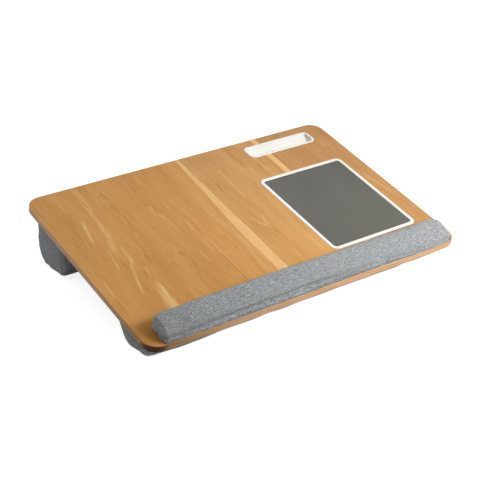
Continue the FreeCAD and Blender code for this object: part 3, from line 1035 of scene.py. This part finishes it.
    def tacked(self) -> set[int]:
        """Vertices on the free side that are stitched down."""
        return set()

    def limit(self, point: Vector) -> Vector:
        """Keep a point off the board and out of the floor."""
        raise NotImplementedError

    def sew(self) -> None:
        """Pull the end seams in, with small puckers beside them."""
        mesh = self.obj.data
        normals = [vert.normal.copy() for vert in mesh.vertices]
        for vert, normal in zip(mesh.vertices, normals):
            off = abs(abs(vert.co.x) - self.half_length)
            depth = self.seam_depth * math.exp(-(off / self.seam_width) ** 2)
            wave = noise.noise(Vector((vert.co.y, vert.co.z, self.seed)) / self.pucker_length * 2)
            depth += self.pucker * wave * math.exp(-off / self.pucker_length)
            vert.co -= normal * depth

    def shape_more(self) -> None:
        """Shape what only this cushion has."""

    def build(self, finish: Material) -> Object:
        """Model the cushion, fill it, sew it and set it in place.

        Args:
            finish: Its cloth.

        Returns:
            The finished piece.
        """
        shape = bmesh.new()
        self.tube(shape)
        self.close_ends(shape)
        self.draw_in(shape)
        self.map_cloth(shape)
        bmesh.ops.recalc_face_normals(shape, faces=list(shape.faces))
        self.obj = show_shape(self.name, shape)
        mesh = self.obj.data
        glued = {vert.index for vert in mesh.vertices if abs(vert.co.z - self.base) < TOUCH}
        self.swell(glued | self.tacked())
        self.sew()
        self.shape_more()
        for vert in mesh.vertices:
            vert.co = self.limit(vert.co)
        mesh.transform(self.stance.matrix @ Matrix.Translation((self.shift, 0, 0)))
        for vert in mesh.vertices:
            vert.co.z = max(vert.co.z, 0.0)
        for polygon in mesh.polygons:
            polygon.use_smooth = True
        mesh.update()
        mesh.materials.append(finish)
        rounding = self.obj.modifiers.new("Rounding", "SUBSURF")
        rounding.levels = rounding.render_levels = 1
        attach(self.obj, BODY)
        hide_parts(*self.replaced)
        LOG.info("%s: %d faces", self.name, len(mesh.polygons))
        return self.obj


@dataclass
class WristRest(Cushion):
    """The padded roll on the board's front edge, with a fold along its front that arches at the middle."""

    fold_height: float = 0.0066
    fold_arch: float = 0.0045
    fold_cut: float = 0.0024
    fold_depth: tuple[float, float] = (0.0026, 0.0010)
    fold_width: float = 0.0022
    fold_top: float = 0.0230
    fold_back: float = -0.170
    fold_fade: tuple[float, float] = (0.120, -0.030)
    fold_start: float = 0.002
    fold_growth: float = 0.012
    fold_flat: float = 0.003
    sway: float = 0.0006
    sway_rate: float = 9.0
    press: tuple[float, float] = (0.65, 0.5)
    press_rate: float = 14.0
    press_seed: float = 4.0

    def fold_share(self, x: float) -> float:
        """How much of the fold is left at a place along the rest: it runs out towards both ends.

        Args:
            x: The place along the rest.

        Returns:
            The share, from 0 to 1.
        """
        left = smooth((x + self.half_length - self.fold_start) / self.fold_growth)
        none, full = self.fold_fade
        return left * smooth((x - none) / (full - none))

    def fold_z(self, x: float) -> float:
        """Height of the fold above the glued side, at a place along the rest."""
        share = min(abs(x) / self.half_length, 1.0)
        return self.fold_height + self.fold_arch * (1 - share * share) ** 2 - self.base

    def draw_in(self, shape: bmesh.types.BMesh) -> None:
        """Arch the fold, then draw the roll in as any cushion is.

        Args:
            shape: The closed cushion.
        """
        for vert in shape.verts:
            height = vert.co.z - self.base
            if vert.co.y < self.fold_back:
                below = smooth(height / (self.fold_height - self.base))
                above = smooth((self.fold_top - height) / (self.fold_top - self.fold_height))
                flat = math.exp(-((vert.co.z - self.fold_height) / self.fold_flat) ** 2)
                vert.co.y -= self.fold_cut * (1 - self.fold_share(vert.co.x)) * flat
                vert.co.z += (self.fold_z(vert.co.x) + self.base - self.fold_height) * min(below, above)
        super().draw_in(shape)

    def tacked(self) -> set[int]:
        """Vertices along the fold.

        Returns:
            Their indices.
        """
        first, last = self.round_reach - self.half_length, self.fold_fade[1]
        return {vert.index for vert in self.obj.data.vertices
                if vert.co.y < self.fold_back and first < vert.co.x < last
                and abs(vert.co.z - self.base - self.fold_z(vert.co.x)) < self.spacing / 2}

    def limit(self, point: Vector) -> Vector:
        """Keep a point above the board."""
        return Vector((point.x, point.y, max(point.z, self.base)))

    def shape_more(self) -> None:
        """Press the fold in, deeper in some places than in others."""
        for vert in self.obj.data.vertices:
            if vert.co.y > self.fold_back:
                continue
            sway = self.sway * noise.noise(Vector((vert.co.x * self.sway_rate, self.seed, 0)))
            off = vert.co.z - self.base - self.fold_z(vert.co.x) - sway
            place = Vector((vert.co.x * self.press_rate, self.press_seed, self.seed))
            mean, swing = self.press
            strength = (mean + swing * noise.noise(place)) * self.fold_share(vert.co.x)
            left, right = self.fold_depth
            depth = left + (right - left) * smooth(vert.co.x / self.half_length / 2 + 0.5)
            vert.co.y += depth * strength * math.exp(-(off / self.fold_width) ** 2)


@dataclass
class Bolster(Cushion):
    """A cushion under the board, flat on the floor, with a slack wrap that may stand back at the right."""

    slack: float = 0.0012
    slack_length: float = 0.065
    right_back: float = 0.0
    right_start: float = 0.165
    right_reach: float = 0.05

    def shape_more(self) -> None:
        """Let the wrap's front stand out more in some places than in others."""
        middle = sum(corner.y for corner in self.corners) / len(self.corners)
        for vert in self.obj.data.vertices:
            if vert.co.y < middle:
                wave = noise.noise(Vector((vert.co.x / self.slack_length * 2, self.seed, 0)))
                vert.co.y -= self.slack * wave
                vert.co.y += self.right_back * smooth((vert.co.x - self.right_start) / self.right_reach)

    def limit(self, point: Vector) -> Vector:
        """Keep a point below the board."""
        return Vector((point.x, point.y, min(point.z, self.base)))


@dataclass
class MousePad:
    """The soft sheet in the mouse pad's frame, with its rolled edge."""

    stance: Stance
    corner_radius: float = 0.0051
    corner_segments: int = 8
    rolled_edge: float = 0.0005
    rolled_segments: int = 4
    name: str = "mouse_pad_surface"

    def build(self, finish: Material) -> Object:
        """Model the sheet where its solid lies.

        Args:
            finish: Its coated surface.

        Returns:
            The finished piece.
        """
        to_board = self.stance.matrix.inverted()
        points = [to_board @ vert.co for vert in frame["nodes"]["mouse_pad_sheet"].data.vertices]
        low = Vector([min(point[i] for point in points) for i in range(3)])
        high = Vector([max(point[i] for point in points) for i in range(3)])
        size = high - low
        shape = bmesh.new()
        bmesh.ops.create_cube(shape, size=1.0)
        bmesh.ops.scale(shape, vec=size, verts=shape.verts)
        upright = [edge for edge in shape.edges if abs(edge.verts[0].co.z - edge.verts[1].co.z) > size.z / 2]
        bmesh.ops.bevel(shape, geom=upright, offset=self.corner_radius, offset_type="OFFSET", affect="EDGES",
                        segments=self.corner_segments, profile=0.5, material=-1)
        rim = [edge for edge in shape.edges if all(vert.co.z > size.z / 4 for vert in edge.verts)]
        bmesh.ops.bevel(shape, geom=rim, offset=self.rolled_edge, offset_type="OFFSET", affect="EDGES",
                        segments=self.rolled_segments, profile=0.5, material=-1)
        bmesh.ops.transform(shape, verts=shape.verts,
                            matrix=self.stance.matrix @ Matrix.Translation((low + high) / 2))
        bmesh.ops.recalc_face_normals(shape, faces=list(shape.faces))
        piece = show_shape(self.name, shape)
        piece.data.materials.append(finish)
        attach(piece, BODY)
        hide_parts("mouse_pad_sheet")
        LOG.info("%s: %.0f by %.0f mm", self.name, size.x * 1000, size.y * 1000)
        return piece


@dataclass(frozen=True)
class Softbox:
    """A soft lamp: where it hangs, what it points at, its side and its power."""

    name: str
    place: tuple[float, float, float]
    aim: tuple[float, float, float]
    side: float
    power: float
    spread: float = math.pi

    def build(self) -> None:
        """Hang the lamp."""
        data = bpy.data.lights.new(self.name, "AREA")
        data.shape = "SQUARE"
        data.size = self.side
        data.energy = self.power
        data.spread = self.spread
        lamp = show(self.name, data)
        lamp.location = self.place
        lamp.rotation_euler = (Vector(self.aim) - Vector(self.place)).to_track_quat("-Z", "Y").to_euler()


@dataclass(frozen=True)
class Studio:
    """The pale floor, the soft light round the desk, and the camera at the photograph's angle."""

    lamps: tuple[Softbox, ...] = (
        Softbox("front_right", (0.75, -0.95, 0.75), (0.20, -0.15, 0.05), 0.5, 2.45, math.radians(60)),
        Softbox("right", (0.9, -0.9, 0.75), (0.0, -0.1, 0.05), 0.6, 2.5),
        Softbox("right_high", (2.2, -0.8, 1.9), (0.0, 0.0, 0.05), 1.4, 3.4),
        Softbox("back_left", (-1.1, 1.3, 1.6), (-0.05, 0.0, 0.05), 1.2, 10.2),
    )
    ambient: float = 0.385
    floor_side: float = 14.0
    floor_tone: Colour = shade(188, 188, 188)
    floor_glow: float = 0.82
    floor_roughness: float = 0.9
    camera_place: tuple[float, float, float] = (-0.90421, -1.28888, 0.84486)
    camera_azimuth: float = math.radians(34.834)
    camera_pitch: float = math.radians(27.508)
    camera_lens: float = 85.816
    sensor: float = 36.0

    @staticmethod
    def seen(sheet: Sheet) -> NodeSocket:
        """Mask of the rays by which the background is seen, straight or in a reflection.

        Args:
            sheet: Where the nodes go.

        Returns:
            The mask, 0 or 1.
        """
        rays = sheet.add("ShaderNodeLightPath", {}).outputs
        seen = sheet.math("MAXIMUM", rays["Is Camera Ray"], rays["Is Glossy Ray"])
        return sheet.math("MAXIMUM", seen, rays["Is Transmission Ray"])

    def build_floor(self) -> None:
        """Lay the floor: white where it is seen, with the desk's soft shadow kept."""
        shape = bmesh.new()
        bmesh.ops.create_grid(shape, x_segments=1, y_segments=1, size=self.floor_side / 2)
        floor = show_shape("floor", shape)
        material = bpy.data.materials.new("floor")
        material.use_nodes = True
        sheet = Sheet(material.node_tree)
        sheet.fill(material.node_tree.nodes["Principled BSDF"], {
            "Base Color": self.floor_tone,
            "Roughness": self.floor_roughness,
            "Specular IOR Level": 0.0,
            "Emission Color": WHITE,
            "Emission Strength": sheet.times(self.seen(sheet), self.floor_glow),
        })
        floor.data.materials.append(material)

    def build_world(self) -> None:
        """Fill the room with even light, and show it as white."""
        world = bpy.data.worlds.new("studio")
        bpy.context.scene.world = world
        world.use_nodes = True
        sheet = Sheet(world.node_tree)
        sheet.fill(world.node_tree.nodes["Background"], {
            "Color": WHITE,
            "Strength": sheet.remap(self.seen(sheet), 0.0, 1.0, self.ambient, 1.0),
        })

    def build_camera(self) -> None:
        """Set the camera."""
        data = bpy.data.cameras.new("camera")
        data.sensor_width = self.sensor
        data.lens = self.camera_lens
        camera = show("camera", data)
        camera.location = self.camera_place
        camera.rotation_euler = (math.pi / 2 - self.camera_pitch, 0.0, -self.camera_azimuth)
        bpy.context.scene.camera = camera

    def build(self) -> None:
        """Build the floor, the light and the camera."""
        bpy.context.scene.view_settings.view_transform = "Standard"
        self.build_floor()
        self.build_world()
        for lamp in self.lamps:
            lamp.build()
        self.build_camera()


@dataclass(frozen=True)
class Desk:
    """The whole lap desk: which finish each solid gets, and its cushions."""

    stance: Stance
    top: float = -0.0106
    sink: float = 0.0012

    def dress_solids(self, effects: Effects) -> None:
        """Give every solid that is shown its finish.

        Args:
            effects: The shared node groups.
        """
        fibreboard = CoatFinish("bare_fibreboard", shade(170, 143, 112), shade(150, 122, 92), (0.8, 0.95),
                                pebble=1500.0, depth=0.0001, specular=0.2)
        laminate = CoatFinish("dark_laminate", shade(62, 60, 58), shade(54, 52, 50), (0.55, 0.7),
                              pebble=1800.0, depth=0.00004)
        tape = CoatFinish("adhesive_tape", shade(216, 214, 206), shade(206, 203, 194), (0.5, 0.65),
                          pebble=1200.0, depth=0.00004)
        dressed: dict[Finish, tuple[str, ...]] = {
            VeneerFinish(): ("top_veneer",),
            EdgeFinish(): ("edge_band",),
            CoatFinish("white_moulding"): ("mouse_pad_frame", "phone_tray"),
            fibreboard: ("board_core",),
            laminate: ("underside_sheet",),
            tape: ("mouse_pad_adhesive", "phone_tray_tape", "wrist_rest_tape", "rear_bolster_tape",
                   "front_bolster_tape"),
        }
        for finish, nodes in dressed.items():
            material = finish.material(effects, self.stance)
            for node in nodes:
                mesh = frame["nodes"][node].data
                mesh.materials.clear()
                mesh.materials.append(material)
                LOG.info("%s: %s", node, material.name)

    def cushions(self) -> list[Cushion]:
        """The three cushions, with their sections in the board's own frame.

        Returns:
            The wrist rest, the rear bolster and the front bolster.
        """
        def parts(name: str, fill: str) -> tuple[str, ...]:
            """The solids that a cushion stands for."""
            return name + "_cover", name + "_end_left", name + "_end_right", name + fill

        def low(y: float) -> float:
            """Height of a bolster's underside as it is cut, a little below the floor that presses it flat."""
            return self.stance.floor_z(y) - self.sink

        rest = WristRest(
            "wrist_rest_cushion", parts("wrist_rest", "_foam") + ("wrist_rest_base",),
            (Corner(-0.1862, 0.0005, 0.0004), Corner(-0.1412, 0.0005, 0.0015), Corner(-0.1450, 0.0295, 0.011),
             Corner(-0.1680, 0.0258, 0.030), Corner(-0.1896, 0.0175, 0.0066), Corner(-0.1844, 0.0066, 0.0008),
             Corner(-0.1868, 0.0038, 0.0018)),
            half_length=0.2578, base=0.0005, stance=self.stance, shift=0.0053, spacing=0.0022, stations=160,
            draw_depth=0.01, draw_height=0.05, round_reach=0.025, round_depth=0.0078, round_foot=0.0,
            left_share=0.35, heel=0.004, crown=0.0046, domes=(2.8, 4.0), travel=0.0018, seam_depth=0.0005,
            seed=1.0)
        rear = Bolster(
            "rear_cushion", parts("rear_bolster", "_fill"),
            (Corner(0.084, self.top, 0.005), Corner(0.172, self.top, 0.005),
             Corner(0.1711, low(0.1711), 0.046), Corner(0.0722, low(0.0722), 0.011)),
            half_length=0.2659, base=self.top, stance=self.stance, spacing=0.0045, stations=110,
            draw_depth=0.02, draw_height=0.0, round_reach=0.006, round_depth=0.0025, round_rise=0.3,
            flare=0.0058, crown=0.002, travel=0.002, seed=2.0)
        front = Bolster(
            "front_cushion", parts("front_bolster", "_fill"),
            (Corner(-0.1888, self.top, 0.0020), Corner(-0.082, self.top, 0.0025),
             Corner(-0.122, low(-0.122), 0.044), Corner(-0.1774, low(-0.1774), 0.018)),
            half_length=0.2762, base=self.top, stance=self.stance, spacing=0.0035, stations=120,
            draw_depth=0.07, draw_height=0.0, round_reach=0.012, round_depth=0.0040, round_rise=0.3,
            flare=0.002, travel=0.002, seed=3.0, right_back=0.0018)
        return [rest, rear, front]

    def build(self) -> None:
        """Dress the solids and build the soft pieces."""
        effects = Effects()
        self.dress_solids(effects)
        cloth = HeatherFinish().material(effects, self.stance)
        for cushion in self.cushions():
            cushion.build(cloth)
        pad = CoatFinish("pad_coating", shade(94, 93, 87), shade(90, 89, 83), (0.55, 0.65),
                         pebble=1500.0, depth=0.00005, specular=0.2)
        MousePad(self.stance).build(pad.material(effects, self.stance))


def main() -> None:
    """Build the desk and its studio."""
    logging.basicConfig(level=logging.INFO, format="%(name)s: %(message)s")
    Desk(Stance.from_record(frame["record"])).build()
    Studio().build()


if __name__ == "__main__":
    main()
